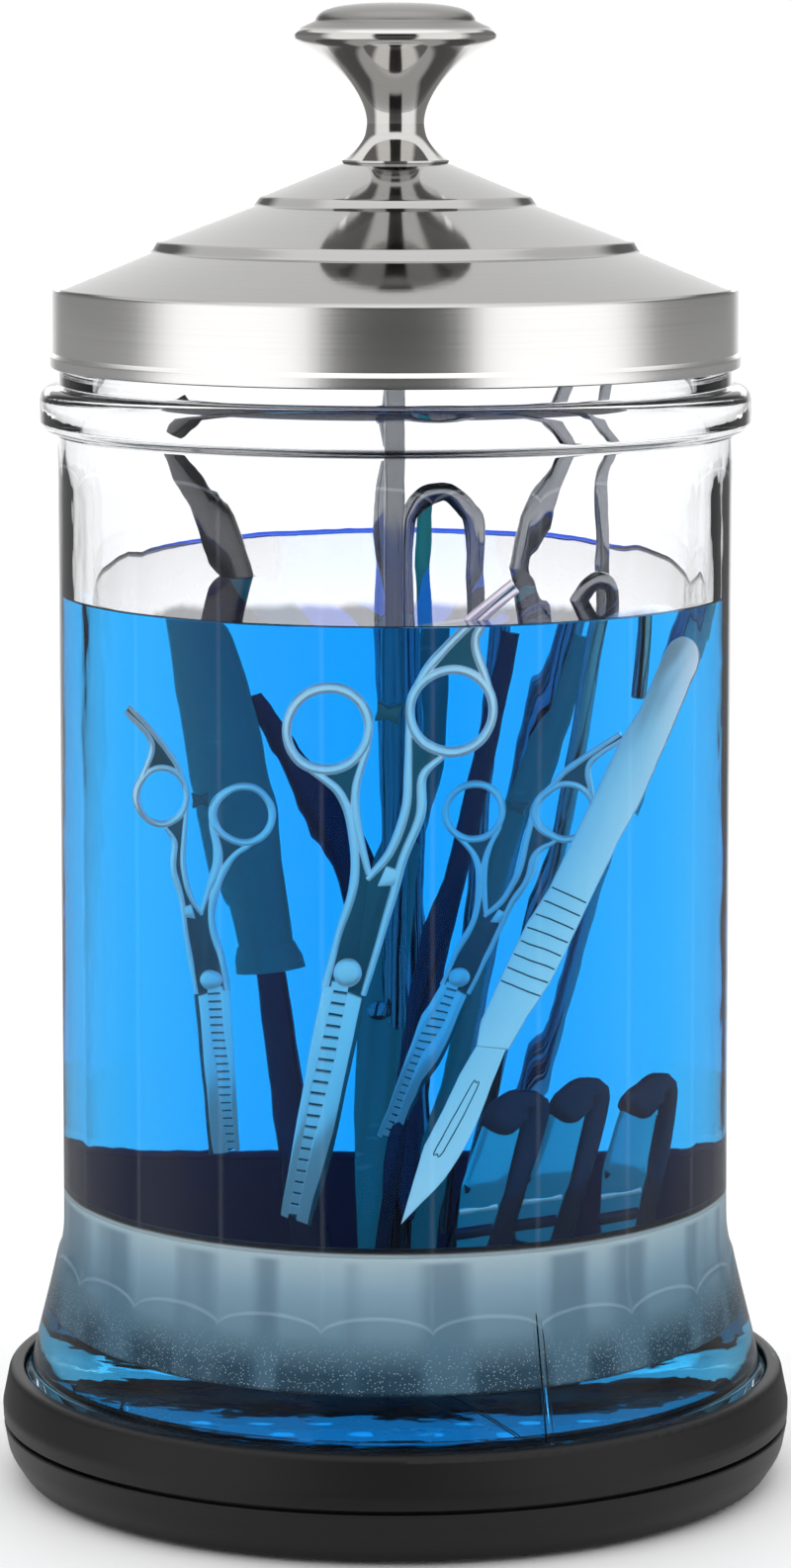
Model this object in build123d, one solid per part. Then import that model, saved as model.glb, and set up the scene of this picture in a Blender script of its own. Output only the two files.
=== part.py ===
from build123d import *

import os

# Disinfectant jar: a fluted glass jar in a black two-piece base, with a stepped steel lid.
# A rod hangs the instrument basket from the lid, so the lid, rod and basket lift out together.
# Millimetres. Origin at the centre of the underside, +Z up. Radii are about the Z axis.

# Overall
base_radius = 62.8
knob_top = 232.4
clearance = 0.3

# Base
foot_ring_inner = 50.0
foot_ring_outer = 57.0
foot_ring_height = 2.0
tray_bottom = 0.6
tray_floor = 7.0
base_joint = 9.0
joint_gap = 0.6
spigot_top = 11.8
collar_top = 17.5

# Glass
foot_radius = 59.1
foot_top = 17.4
flare_top = 44.5
panel_count = 20
panel_turn = 6.0
panel_edge_radius = 53.0
shoulder_bottom = 161.5
shoulder_top = 164.2
bead_bottom = 166.5
bead_top = 173.4
bead_radius = 55.6
neck_radius = 52.5
rim_top = 185.5
bore_radius = 49.2
foot_bore_radius = 54.6
bore_flare_top = 42.5
inside_floor = 14.5

# Lid
sheet = 0.6
skirt_radius = 53.5
hem_radius = 53.9
hem_bottom = 176.2
hem_height = 2.4
eave = 188.6
lid_top = 207.9
lid_top_radius = 8.4

# Lift rod, with its nuts and washers
rod_radius = 1.6
rod_bottom = 19.7
rod_top = 221.0
thread_play = 0.05
washer_hole = 1.9
washer_thickness = 0.8
nut_flats = 5.6
nut_height = 2.4

# Knob
knob_radius = 15.8
knob_waist = 4.5
knob_waist_height = 213.9

# Basket
cup_radius = 47.0
cup_wall = 0.8
cup_rim = 45.5
cup_bead = 0.8
floor_bottom = 23.5
floor_thickness = 1.0
ledge_width = 3.4
hole_radius = 2.0
hole_rings = [(10.0, 6), (18.0, 12), (26.0, 18), (34.0, 24), (41.0, 28)]


def section(*corners):
    """Half section in the XZ plane from (radius, height, rounding) corners."""
    outline = make_face(Polyline([(r, z) for r, z, _ in corners], close=True))
    for r, z, rounding in corners:
        if rounding:
            corner = outline.vertices().sort_by_distance((r, z, 0))[0]
            outline = fillet(corner, rounding)
    return Plane.XZ * outline


def turned(*corners):
    """Solid of revolution from (radius, height, rounding) corners."""
    return revolve(section(*corners), Axis.Z)


def ring(inner, outer, bottom, top, rounding=0.0):
    """Plain ring, with its outer corners rounded."""
    return turned((inner, bottom, 0), (outer, bottom, rounding), (outer, top, rounding), (inner, top, 0))


def nut(bottom, height=nut_height):
    """Hexagon nut on the rod."""
    blank = extrude(RegularPolygon(nut_flats / 2, 6, major_radius=False), height)
    bored = blank - Cylinder(rod_radius + thread_play, 3 * height)
    return Pos(0, 0, bottom) * bored


def washer(bottom, radius):
    """Flat washer round the rod."""
    return ring(washer_hole, radius, bottom, bottom + washer_thickness, 0.2)


def make_foot_ring():
    """Rubber ring under the tray that the jar stands on."""
    return ring(foot_ring_inner, foot_ring_outer, 0, foot_ring_height, 0.4)


def make_base_tray():
    """Lower half of the base, with a groove for the foot ring and a spigot for the collar."""
    groove_top = foot_ring_height + 0.1
    spigot_inner = foot_radius + clearance
    spigot_outer = spigot_inner + 2.0
    return turned(
        (0, tray_bottom + 1.4, 0),
        (foot_ring_inner - 1.5, tray_bottom + 1.4, 0),
        (foot_ring_inner - 1.5, tray_bottom, 0.4),
        (foot_ring_inner - 0.2, tray_bottom, 0),
        (foot_ring_inner - 0.2, groove_top, 0),
        (foot_ring_outer + 0.2, groove_top, 0),
        (foot_ring_outer + 0.2, tray_bottom, 0),
        (base_radius - 3.4, tray_bottom, 1.6),
        (base_radius - 0.9, 4.4, 6.0),
        (base_radius - 0.1, base_joint - joint_gap / 2, 0.3),
        (spigot_outer, base_joint - joint_gap / 2, 0),
        (spigot_outer, spigot_top, 0.3),
        (spigot_inner, spigot_top, 0.3),
        (spigot_inner, tray_floor, 1.0),
        (0, tray_floor, 0),
    )


def make_base_collar():
    """Upper half of the base, a ring that closes round the foot of the glass."""
    bore = foot_radius + clearance
    rebate = bore + 2.2
    return turned(
        (bore, spigot_top + 0.2, 0),
        (rebate, spigot_top + 0.2, 0),
        (rebate, base_joint + joint_gap / 2, 0),
        (base_radius - 0.1, base_joint + joint_gap / 2, 0.3),
        (base_radius, base_joint + 2.6, 4.0),
        (base_radius - 1.2, collar_top, 1.3),
        (bore, collar_top, 0.3),
    )


def make_glass_jar():
    """Pressed glass jar: a flared hollow foot, flat panels, a rolled bead and a plain neck."""
    core_radius = panel_edge_radius - 1.0
    outside = turned(
        (0, tray_floor + 2.0, 0),
        (foot_radius - 10, tray_floor + 2.0, 2.0),
        (foot_radius - 8, tray_floor, 0.8),
        (foot_radius, tray_floor, 1.5),
        (foot_radius, foot_top - 0.6, 0.8),
        (foot_radius - 0.9, foot_top + 0.4, 1.0),
        (core_radius, flare_top, 40.0),
        (core_radius, shoulder_bottom, 1.5),
        (panel_edge_radius + 0.3, shoulder_top, 1.5),
        (panel_edge_radius + 0.3, bead_bottom, 0.5),
        (bead_radius, bead_bottom, 1.6),
        (bead_radius, bead_top, 2.2),
        (neck_radius, bead_top, 0.6),
        (neck_radius, rim_top, 1.5),
        (0, rim_top, 0),
    )
    panels = extrude(
        RegularPolygon(panel_edge_radius, panel_count, rotation=panel_turn - 90),
        shoulder_top - flare_top + 6.0,
    )
    inside = turned(
        (0, inside_floor, 0),
        (foot_bore_radius, inside_floor, 4.0),
        (bore_radius, bore_flare_top, 40.0),
        (bore_radius, rim_top - 1.0, 0),
        (bore_radius + 1.0, rim_top + 1.0, 0),
        (0, rim_top + 1.0, 0),
    )
    return outside + Pos(0, 0, flare_top - 5.0) * panels - inside


def lid_corners(shift):
    """Corners of the lid's outside, from its centre hole down to the hem, moved in by shift."""
    steps = [
        (lid_top_radius, lid_top),
        (21.5, 202.7),
        (22.4, 201.4),
        (37.9, 195.9),
        (38.8, 194.4),
        (skirt_radius, eave),
    ]
    return [(r - shift, z - shift, 0.5) for r, z in steps]


def make_lid_shell():
    """Spun steel lid: three shallow cones with short risers, a straight skirt and a rolled hem."""
    inner = skirt_radius - sheet
    hem_top = hem_bottom + hem_height
    shell = turned(
        (washer_hole, lid_top, 0),
        *lid_corners(0),
        (skirt_radius, hem_top, 0.2),
        (hem_radius, hem_top - 0.6, 0.3),
        (hem_radius, hem_bottom, 0.45),
        (inner, hem_bottom, 0.4),
        *reversed(lid_corners(sheet)),
        (washer_hole, lid_top - sheet, 0),
    )
    return shell


def make_lid_seal():
    """Silicone ring that sits on the rim of the glass and plugs its mouth."""
    lip_inner = bore_radius - 1.8
    lip_outer = bore_radius - 0.5
    seat = rim_top + 0.15
    return turned(
        (lip_inner, rim_top - 4.0, 0.4),
        (lip_outer, rim_top - 4.0, 0.4),
        (lip_outer, seat, 0),
        (neck_radius - 0.4, seat, 0.3),
        (neck_radius - 0.4, seat + 1.6, 0.6),
        (lip_inner, seat + 1.6, 0.4),
    )


def make_knob():
    """Turned mushroom knob with a flared foot, a trumpet neck and a domed cap."""
    band_bottom = 226.3
    band_top = 228.3
    ridge = (11.8, 230.2)
    axis_bottom = Line((0, lid_top), (lid_top_radius, lid_top))
    foot = ThreePointArc((lid_top_radius, lid_top), (5.6, 210.2), (knob_waist, knob_waist_height))
    neck = Spline(
        (knob_waist, knob_waist_height),
        (5.5, 218.2),
        (9.4, 222.7),
        (knob_radius - 0.5, band_bottom),
        tangents=[(0, 1), (0.93, 0.37)],
    )
    band = Polyline(
        (knob_radius - 0.5, band_bottom),
        (knob_radius, band_bottom + 0.5),
        (knob_radius, band_top - 0.5),
        (knob_radius - 0.5, band_top),
        ridge,
    )
    dome = TangentArc((0, knob_top), ridge, tangent=(1, 0))
    back = Line((0, knob_top), (0, lid_top))
    outline = Plane.XZ * make_face(Curve() + [axis_bottom, foot, neck, band, dome, back])
    socket_height = rod_top + 1.0 - lid_top
    socket = Pos(0, 0, lid_top + socket_height / 2) * Cylinder(rod_radius + thread_play, socket_height)
    return revolve(outline, Axis.Z) - socket


def make_lift_rod():
    """Plain rod from the basket floor up through the lid into the knob."""
    return ring(0, rod_radius, rod_bottom, rod_top, 0.3)


def make_basket_cup():
    """Side wall of the basket, with a ledge that carries the floor and a rolled top bead."""
    inner = cup_radius - cup_wall
    ledge_bottom = floor_bottom - cup_wall
    wall = turned(
        (cup_radius - ledge_width, ledge_bottom, 0),
        (cup_radius, ledge_bottom, 0.7),
        (cup_radius, cup_rim, 0),
        (inner, cup_rim, 0),
        (inner, floor_bottom, 0),
        (cup_radius - ledge_width, floor_bottom, 0),
    )
    bead = Pos(0, 0, cup_rim) * Torus(cup_radius - cup_bead / 4, cup_bead)
    return wall + bead


def make_basket_floor():
    """Round perforated plate that lets the liquid drain as the basket comes up."""
    plate = ring(washer_hole, cup_radius - cup_wall - 0.1, floor_bottom, floor_bottom + floor_thickness)
    drill = Pos(0, 0, floor_bottom) * Cylinder(hole_radius, 4 * floor_thickness)
    for radius, count in hole_rings:
        plate -= PolarLocations(radius, count) * drill
    return plate


def make_floor_washers():
    """The two washers that clamp the basket floor on the rod."""
    above = washer(floor_bottom + floor_thickness, 5.5)
    below = washer(floor_bottom - washer_thickness, 5.5)
    return Compound(children=[above, below])


def make_floor_nuts():
    """The two nuts that clamp the basket floor on the rod."""
    above = nut(floor_bottom + floor_thickness + washer_thickness)
    below = nut(floor_bottom - washer_thickness - nut_height)
    return Compound(children=[above, below])


under_lid = lid_top - sheet - washer_thickness
nodes = {
    "foot_ring": make_foot_ring(),
    "base_tray": make_base_tray(),
    "base_collar": make_base_collar(),
    "glass_jar": make_glass_jar(),
    "lid_seal": make_lid_seal(),
    "lid_shell": make_lid_shell(),
    "knob": make_knob(),
    "lid_washer": washer(under_lid, 6.5),
    "lid_nut": nut(under_lid - nut_height),
    "lift_rod": make_lift_rod(),
    "basket_cup": make_basket_cup(),
    "basket_floor": make_basket_floor(),
    "floor_washers": make_floor_washers(),
    "floor_nuts": make_floor_nuts(),
}

os.makedirs("parts", exist_ok=True)
for name, shape in nodes.items():
    export_step(shape, f"parts/{name}.step")
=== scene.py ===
"""Looks of the disinfectant jar: base, fluted glass, steel lid and basket, the liquid and its instruments.

Lengths in the classes are millimetres in the jar's own frame (+Z up, front towards -Y), and MM turns
them into the frame's metres when a mesh is finished.
"""

import logging
import math
from dataclasses import dataclass, field
from enum import Enum
from typing import Iterable, Mapping, Sequence, Union

import bmesh
import bpy
from mathutils import Matrix, Vector
from mathutils.geometry import interpolate_bezier


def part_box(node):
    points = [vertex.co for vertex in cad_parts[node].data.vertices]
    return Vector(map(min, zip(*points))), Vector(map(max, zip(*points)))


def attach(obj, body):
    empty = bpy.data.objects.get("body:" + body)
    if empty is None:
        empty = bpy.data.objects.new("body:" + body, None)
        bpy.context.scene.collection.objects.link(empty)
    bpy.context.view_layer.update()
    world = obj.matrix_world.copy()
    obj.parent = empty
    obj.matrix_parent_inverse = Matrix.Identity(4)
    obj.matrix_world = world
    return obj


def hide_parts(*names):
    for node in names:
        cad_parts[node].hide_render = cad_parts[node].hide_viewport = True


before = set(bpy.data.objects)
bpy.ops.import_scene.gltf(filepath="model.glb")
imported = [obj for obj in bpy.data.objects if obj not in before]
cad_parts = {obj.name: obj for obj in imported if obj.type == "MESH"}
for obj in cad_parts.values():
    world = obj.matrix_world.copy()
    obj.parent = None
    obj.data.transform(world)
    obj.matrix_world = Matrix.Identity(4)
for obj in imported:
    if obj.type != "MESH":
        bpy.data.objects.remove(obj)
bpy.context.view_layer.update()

MM = 0.001  # metres in a millimetre
TOUCH = 0.01  # how near a corner counts as being at a place
MERGE = 1e-4  # how near corners are merged
LOG = logging.getLogger("disinfectant_jar")

Point = tuple[float, float]
Colour = tuple[float, float, float]
Number = Union[float, int, "Signal"]
Profile = list[tuple[float, float, float]]
Sockets = dict[str, object]

FRONT = Vector((0, -1, 0))
BLACK = (0.0, 0.0, 0.0)
WHITE = (1.0, 1.0, 1.0)


class Body(Enum):
    """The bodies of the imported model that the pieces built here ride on."""

    JAR = "jar"
    LID = "lid"


class Edge(Enum):
    """How a mesh is shaded where two faces meet, as the largest smooth angle in degrees."""

    SOFT = 60.0
    CRISP = 28.0


# ---------------------------------------------------------------------------------------------
# Shader writing
# ---------------------------------------------------------------------------------------------


@dataclass
class Signal:
    """A node's output socket that can be used in Python expressions."""

    graph: "Graph"
    socket: bpy.types.NodeSocket

    def _with(self, operation: str, first: Number, second: Number = 0.0) -> "Signal":
        """Add one Math node and return its result."""
        return self.graph.node("ShaderNodeMath", {"operation": operation}, {0: first, 1: second})

    def __add__(self, other: Number) -> "Signal":
        """Return the sum."""
        return self._with("ADD", self, other)

    def __radd__(self, other: Number) -> "Signal":
        """Return the sum, with the number on the left."""
        return self._with("ADD", other, self)

    def __sub__(self, other: Number) -> "Signal":
        """Return the difference."""
        return self._with("SUBTRACT", self, other)

    def __rsub__(self, other: Number) -> "Signal":
        """Return the difference, with the number on the left."""
        return self._with("SUBTRACT", other, self)

    def __mul__(self, other: Number) -> "Signal":
        """Return the product."""
        return self._with("MULTIPLY", self, other)

    def __rmul__(self, other: Number) -> "Signal":
        """Return the product, with the number on the left."""
        return self._with("MULTIPLY", other, self)

    def atan2(self, other: Number) -> "Signal":
        """Return the angle whose tangent is this signal over the other."""
        return self._with("ARCTAN2", self, other)

    def root(self) -> "Signal":
        """Return the square root."""
        return self._with("SQRT", self)

    def size(self) -> "Signal":
        """Return the absolute value."""
        return self._with("ABSOLUTE", self)


class Graph:
    """A node tree that nodes are added to one call at a time."""

    def __init__(self, tree: bpy.types.NodeTree) -> None:
        """Start from an empty tree.

        Args:
            tree: the tree of a material or a world.
        """
        self.tree = tree
        tree.nodes.clear()

    def node(
        self, kind: str, settings: Mapping | None = None, inputs: Mapping | None = None,
        output: int | str = 0,
    ) -> Signal:
        """Add a node.

        Args:
            kind: the node's Blender type.
            settings: properties set first; "stops" fills a colour ramp with (place, colour) pairs.
            inputs: values or signals by socket name or number.
            output: the socket to return.

        Returns:
            The chosen output as a signal.
        """
        made = self.tree.nodes.new(kind)
        for name, value in (settings or {}).items():
            if name == "stops":
                self._fill_ramp(made.color_ramp, value)
            else:
                setattr(made, name, value)
        for name, value in (inputs or {}).items():
            if isinstance(value, Signal):
                self.tree.links.new(value.socket, made.inputs[name])
            else:
                made.inputs[name].default_value = value
        return Signal(self, made.outputs[output])

    @staticmethod
    def _fill_ramp(ramp: bpy.types.ColorRamp, stops: Sequence[tuple[float, Colour]]) -> None:
        """Give a colour ramp its stops.

        Args:
            ramp: the ramp of a new node.
            stops: (place, colour) pairs from left to right.
        """
        while len(ramp.elements) < len(stops):
            ramp.elements.new(1.0)
        for element, (place, colour) in zip(ramp.elements, stops):
            element.position = place
            element.color = (*colour, 1.0)

    def place(self) -> Signal:
        """Return the Object coordinates."""
        return self.node("ShaderNodeTexCoord", output="Object")

    def axes(self) -> tuple[Signal, Signal, Signal]:
        """Split the Object coordinates.

        Returns:
            X, Y and Z in millimetres.
        """
        scaled = self.node("ShaderNodeVectorMath", {"operation": "SCALE"}, {0: self.place(), "Scale": 1 / MM})
        split = self.node("ShaderNodeSeparateXYZ", {}, {0: scaled})
        outputs = split.socket.node.outputs
        return tuple(Signal(self, outputs[i]) for i in range(3))

    def radius(self) -> Signal:
        """Return the distance from the Z axis in millimetres."""
        x, y, _ = self.axes()
        return (x * x + y * y).root()

    def grain(self, stretch: tuple[float, float, float], detail: float = 3.0) -> Signal:
        """Make noise on Object coordinates.

        Args:
            stretch: waves per metre along X, Y and Z.
            detail: octaves of finer noise.

        Returns:
            The noise, from 0 to 1.
        """
        at = self.node("ShaderNodeMapping", {}, {"Vector": self.place(), "Scale": stretch})
        return self.node("ShaderNodeTexNoise", {}, {"Vector": at, "Scale": 1.0, "Detail": detail})

    def turning_lines(self, per_mm: float) -> Signal:
        """Make noise that is constant round the Z axis, as a lathe leaves it.

        Args:
            per_mm: waves per millimetre.

        Returns:
            The noise, from 0 to 1.
        """
        x, _, z = self.axes()
        radius = self.radius()
        at = self.node("ShaderNodeCombineXYZ", {}, {0: radius * per_mm, 1: z * per_mm, 2: x * 0.01})
        return self.node("ShaderNodeTexNoise", {}, {"Vector": at, "Scale": 1.0, "Detail": 4.0})

    def mix(self, factor: "Signal", low: "Colour | Signal", high: "Colour | Signal") -> Signal:
        """Return a colour between two colours."""
        ends = [end if isinstance(end, Signal) else (*end, 1.0) for end in (low, high)]
        return self.node("ShaderNodeMix", {"data_type": "RGBA"}, {0: factor, 6: ends[0], 7: ends[1]}, 2)

    def above(self, value: Signal, low: float, high: float) -> Signal:
        """Return 0 where a value is below a range, 1 above it and a smooth change between."""
        ends = {0: value, 1: low, 2: high}
        return self.node("ShaderNodeMapRange", {"interpolation_type": "SMOOTHSTEP"}, ends)

    def bump(
        self, height: Signal, strength: float, distance_mm: float, normal: Signal | None = None,
    ) -> Signal:
        """Tilt the surface by a height.

        Args:
            height: the height, from 0 to 1.
            strength: how much of the tilt shows.
            distance_mm: how high a height of 1 is.
            normal: a tilt that this one comes on top of.

        Returns:
            The normal.
        """
        values = {"Height": height, "Strength": strength, "Distance": distance_mm * MM}
        if normal:
            values["Normal"] = normal
        return self.node("ShaderNodeBump", {}, values)

    def mirrored(self) -> Signal:
        """Return 1 for what is seen in a shiny surface, and 0 for what is seen directly or through glass."""
        outputs = self.node("ShaderNodeLightPath").socket.node.outputs
        return Signal(self, outputs["Is Glossy Ray"]) * Signal(self, outputs["Is Reflection Ray"])

    def range(self, value: Signal, low: float, high: float) -> Signal:
        """Return a 0 to 1 signal moved to another range."""
        return value * (high - low) + low


# ---------------------------------------------------------------------------------------------
# Finishes
# ---------------------------------------------------------------------------------------------


class Finish:
    """A surface that can be made into a material."""

    name: str

    def sockets(self, g: Graph) -> Sockets:
        """Return the Principled shader's values and signals by socket name."""
        raise NotImplementedError

    def volume(self, g: Graph) -> Signal | None:
        """Return the volume shader, where the finish has one."""
        return None

    def make(self) -> bpy.types.Material:
        """Build a material.

        Returns:
            The material, named like the finish.
        """
        material = bpy.data.materials.new(self.name)
        material.use_nodes = True
        graph = Graph(material.node_tree)
        outputs = {"Surface": graph.node("ShaderNodeBsdfPrincipled", {}, self.sockets(graph))}
        volume = self.volume(graph)
        if volume is not None:
            outputs["Volume"] = volume
        end = material.node_tree.nodes.new("ShaderNodeOutputMaterial")
        for socket, signal in outputs.items():
            material.node_tree.links.new(signal.socket, end.inputs[socket])
        return material


@dataclass(frozen=True)
class SpunSteel(Finish):
    """Satin stainless steel with fine rings from spinning or turning.

    Above change_height the polish changes and painted shade darkens the colour, and dish tilts the surface
    towards the middle.
    """

    name: str
    colour: Colour
    polish: Point = (0.2, 0.3)
    rings_per_mm: float = 2.2
    ring_depth: float = 0.12
    ring_height: float = 0.02
    change_height: float = 0.0
    change_reach: float = 0.4
    upper_polish: float = 0.0
    upper_painted_shade: float = 1.0
    dish: float = 0.0
    ring_light: float = 1.1
    ring_share: float = 0.6
    cloud_waves: float = 60.0

    def sockets(self, g: Graph) -> Sockets:
        """Draw the steel.

        Args:
            g: the material's nodes.

        Returns:
            The shader's values and signals by socket name.
        """
        lines = g.turning_lines(self.rings_per_mm)
        cloud = g.grain((self.cloud_waves,) * 3)
        dished = g.bump(g.radius(), 1.0, self.dish)
        height = g.axes()[2]
        change, reach = self.change_height, self.change_reach
        upper = g.above(height, change - reach, change + reach)
        pale = tuple(min(1.0, c * self.ring_light) for c in self.colour)
        # Painted shade: above the change the colours are darkened copies of the same steel.
        shades = [tuple(c * self.upper_painted_shade for c in colour) for colour in (self.colour, pale)]
        wear = lines * self.ring_share + cloud * (1.0 - self.ring_share)
        return {
            "Base Color": g.mix(upper, g.mix(lines, self.colour, pale), g.mix(lines, *shades)),
            "Metallic": 1.0,
            "Roughness": g.range(wear, *self.polish) + upper * self.upper_polish,
            "Normal": g.bump(lines, self.ring_depth, self.ring_height, dished),
        }


@dataclass(frozen=True)
class PlainMetal(Finish):
    """Metal with a faint cloudy variation, fine scratches and a painted glow that emits its own shade."""

    name: str
    colour: Colour
    polish: Point = (0.08, 0.16)
    scratch: tuple[float, float, float] = (300, 300, 900)
    metallic: float = 1.0
    painted_glow: float = 0.0
    shine: float = 0.5
    cloud_light: float = 1.1
    cloud_lift: float = 0.01
    cloud_waves: float = 90.0
    scratch_depth: float = 0.08
    scratch_height: float = 0.02

    def sockets(self, g: Graph) -> Sockets:
        """Draw the metal.

        Args:
            g: the material's nodes.

        Returns:
            The shader's values and signals by socket name.
        """
        cloud = g.grain((self.cloud_waves,) * 3)
        marks = g.grain(self.scratch, 5.0)
        pale = tuple(min(1.0, c * self.cloud_light + self.cloud_lift) for c in self.colour)
        shade = g.mix(cloud, self.colour, pale)
        return {
            "Base Color": shade,
            # Painted light: the metal glows with its own shade though it is no lamp.
            "Emission Color": shade,
            "Emission Strength": self.painted_glow,
            "Metallic": self.metallic,
            "Specular IOR Level": self.shine,
            "Roughness": g.range(cloud * 0.5 + marks * 0.5, *self.polish),
            "Normal": g.bump(marks, self.scratch_depth, self.scratch_height),
        }


@dataclass(frozen=True)
class BubbledSteel(Finish):
    """Satin steel under the liquid, with painted shade that darkens it low down, where small bubbles cling to
    it, and inside the cup, a painted dark line at the rim and a painted glow on its outside.
    """

    name: str = "basket_steel"
    heights: Point = (22.0, 47.0)
    # Painted shade: the wall runs from dark low down to nearly white near the top, then a nearly black
    # painted dark line at the rolled rim.
    shades: tuple[tuple[float, Colour], ...] = (
        (0.0, (0.05, 0.1, 0.16)),
        (0.16, (0.06, 0.12, 0.18)),
        (0.4, (0.42, 0.52, 0.62)),
        (0.7, (0.62, 0.74, 0.86)),
        (0.93, (0.92, 0.97, 1.0)),
        (0.945, (0.01, 0.01, 0.015)),
        (1.0, (0.01, 0.01, 0.015)),
    )
    streak: Colour = (0.26, 0.36, 0.46)
    streak_waves: tuple[float, float, float] = (95, 95, 4)
    streak_edge: Point = (0.46, 0.6)
    streak_top: Point = (0.86, 0.9)
    streak_strength: float = 0.75
    bubble: Colour = (0.95, 0.97, 1.0)
    bubble_edge: Point = (0.16, 0.26)
    bubble_zone: Point = (27.0, 33.0)
    bubble_mm: float = 0.42
    outside: float = 46.7
    outside_reach: float = 0.1
    # Painted light: the outside of the wall glows with its own shade.
    painted_glow: float = 0.1
    # Painted shade: the inside of the cup is darker.
    inside: Colour = (0.08, 0.16, 0.224)
    polish: Point = (0.4, 0.52)

    def sockets(self, g: Graph) -> Sockets:
        """Draw the basket's steel.

        Args:
            g: the material's nodes.

        Returns:
            The shader's values and signals by socket name.
        """
        height = g.axes()[2]
        outer = g.above(g.radius(), self.outside - self.outside_reach, self.outside + self.outside_reach)
        places = {"Vector": g.place(), "Scale": 1 / (self.bubble_mm * MM)}
        cells = g.node("ShaderNodeTexVoronoi", {}, places, "Distance")
        dots = (1.0 - g.above(cells, *self.bubble_edge)) * (1.0 - g.above(height, *self.bubble_zone))
        low, high = self.heights
        level = (height - low) * (1 / (high - low))
        wall = g.node("ShaderNodeValToRGB", {"stops": self.shades}, {0: level})
        streaks = g.above(g.grain(self.streak_waves, 1.0), *self.streak_edge)
        streaks = streaks * (1.0 - g.above(level, *self.streak_top)) * self.streak_strength
        shade = g.mix(dots, g.mix(streaks, wall, self.streak), self.bubble)
        marks = g.grain((500, 500, 30), 4.0)
        return {
            # Painted shade inside the cup, and painted glow outside it.
            "Base Color": g.mix(outer, self.inside, shade),
            "Emission Color": g.mix(outer, BLACK, shade),
            "Emission Strength": self.painted_glow,
            "Metallic": 0.3,
            "Roughness": g.range(marks, *self.polish),
            "Normal": g.bump(marks, 0.1, 0.02),
        }


@dataclass(frozen=True)
class Moulding(Finish):
    """Fine-textured moulded plastic, rubber or silicone."""

    name: str
    colour: Colour
    roughness: Point
    shine: float = 0.4
    texture_mm: float = 0.35
    texture_depth: float = 0.25
    texture_height: float = 0.03
    wear_waves: float = 45.0
    wear_share: float = 0.6
    wear_light: float = 1.35
    wear_lift: float = 0.002

    def sockets(self, g: Graph) -> Sockets:
        """Draw the moulding.

        Args:
            g: the material's nodes.

        Returns:
            The shader's values and signals by socket name.
        """
        texture = g.grain((1 / (self.texture_mm * MM),) * 3, 2.0)
        wear = g.grain((self.wear_waves,) * 3, 4.0)
        pale = tuple(min(1.0, c * self.wear_light + self.wear_lift) for c in self.colour)
        uneven = wear * self.wear_share + texture * (1.0 - self.wear_share)
        return {
            "Base Color": g.mix(wear, self.colour, pale),
            "Roughness": g.range(uneven, *self.roughness),
            "Specular IOR Level": self.shine,
            "Normal": g.bump(texture, self.texture_depth, self.texture_height),
        }


@dataclass(frozen=True)
class Fluting:
    """The moulded panels round the glass, which end in arches at two heights."""

    count: int = 20
    first: float = 6.0
    arches: Point = (34.0, 159.0)
    arch_rise: float = 2.6

    @property
    def half(self) -> float:
        """Return half a panel's angle in radians."""
        return math.pi / self.count


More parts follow.
